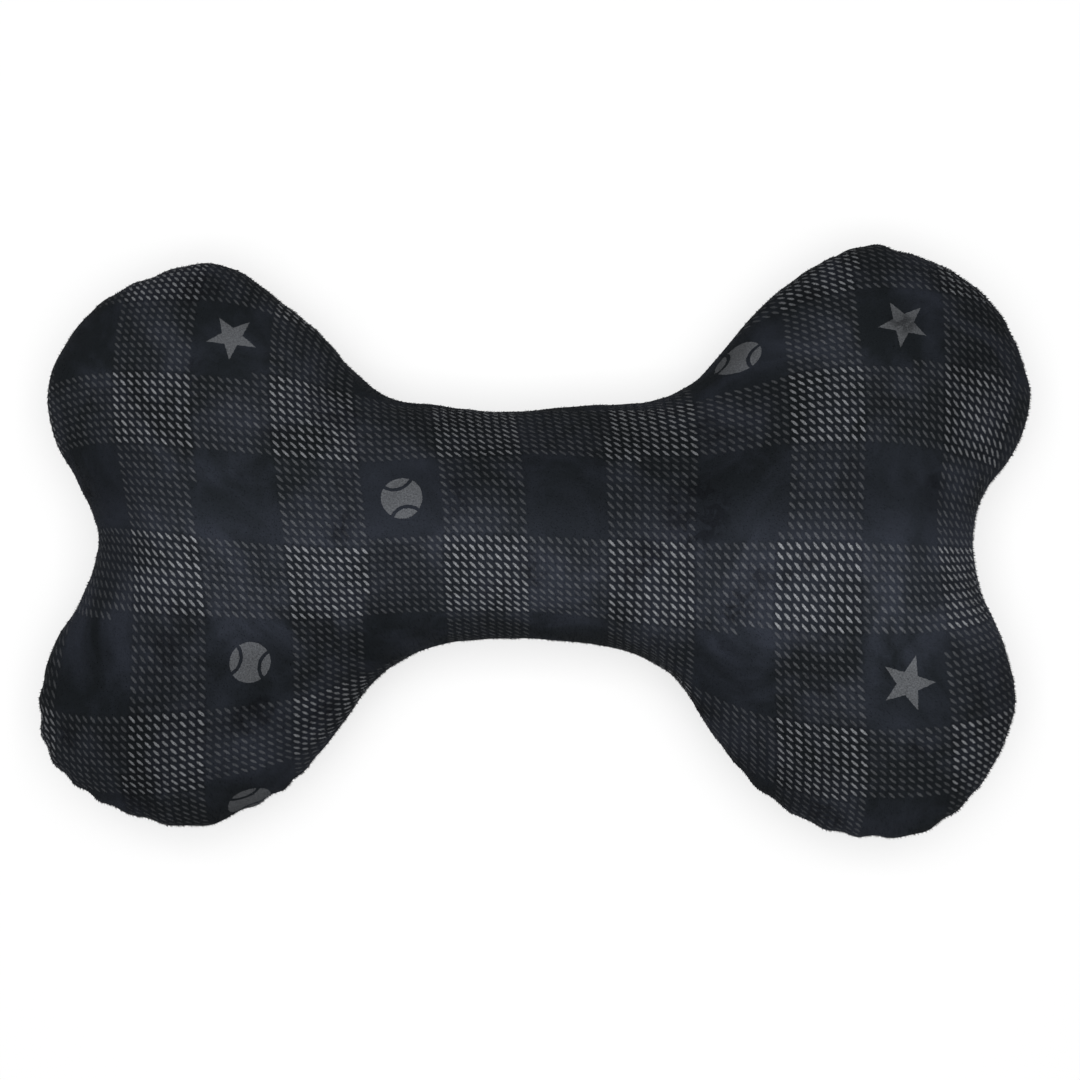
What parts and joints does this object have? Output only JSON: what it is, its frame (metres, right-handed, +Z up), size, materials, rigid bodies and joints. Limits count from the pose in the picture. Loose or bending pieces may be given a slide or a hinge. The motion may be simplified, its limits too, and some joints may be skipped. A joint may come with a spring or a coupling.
{
  "type": "plush bone dog toy",
  "caption": "Stuffed plush dog toy in the shape of a bone: two printed plush panels sewn along the outline over fibre filling, with an accordion squeaker in the shaft.",
  "frame": {"origin": "on the floor, under the centre of the toy's bounding box, with the toy lying on its back panel", "axes": "+X along the bone, to the right in the picture; +Y across it, up in the picture; +Z up, out of the front panel"},
  "size_m": [0.305, 0.183, 0.088],
  "materials": {
    "front_plush": "short-pile polyester plush, near-black navy with a woven-look check print in grey",
    "back_plush": "the same printed plush as the front",
    "thread": "black spun polyester sewing thread",
    "fibre": "white crimped polyester filling",
    "squeaker_soft": "blow-moulded soft polyethylene, milky, satin",
    "squeaker_hard": "injection-moulded polystyrene, slightly glossy"
  },
  "bodies": {
    "toy": {"front_panel": "front_plush", "back_panel": "back_plush", "seam_thread": "thread", "closing_thread": "thread", "stuffing_shaft_front": "fibre", "stuffing_shaft_back": "fibre", "stuffing_lobe_upper_left": "fibre", "stuffing_lobe_upper_right": "fibre", "stuffing_lobe_lower_left": "fibre", "stuffing_lobe_lower_right": "fibre", "squeaker_base": "squeaker_soft", "squeaker_bellows": "squeaker_soft", "squeaker_reed_holder": "squeaker_hard", "squeaker_reed": "squeaker_hard"},
    "squeaker_cap": {"squeaker_top": "squeaker_soft"}
  },
  "joints": [
    {"name": "squeaker_press", "type": "slide", "parent": "toy", "child": "squeaker_cap", "axis": [0, 0, -1], "range_m": [0, 0.009], "stiffness_N_per_m": 300, "deforming": ["squeaker_bellows"]}
  ]
}
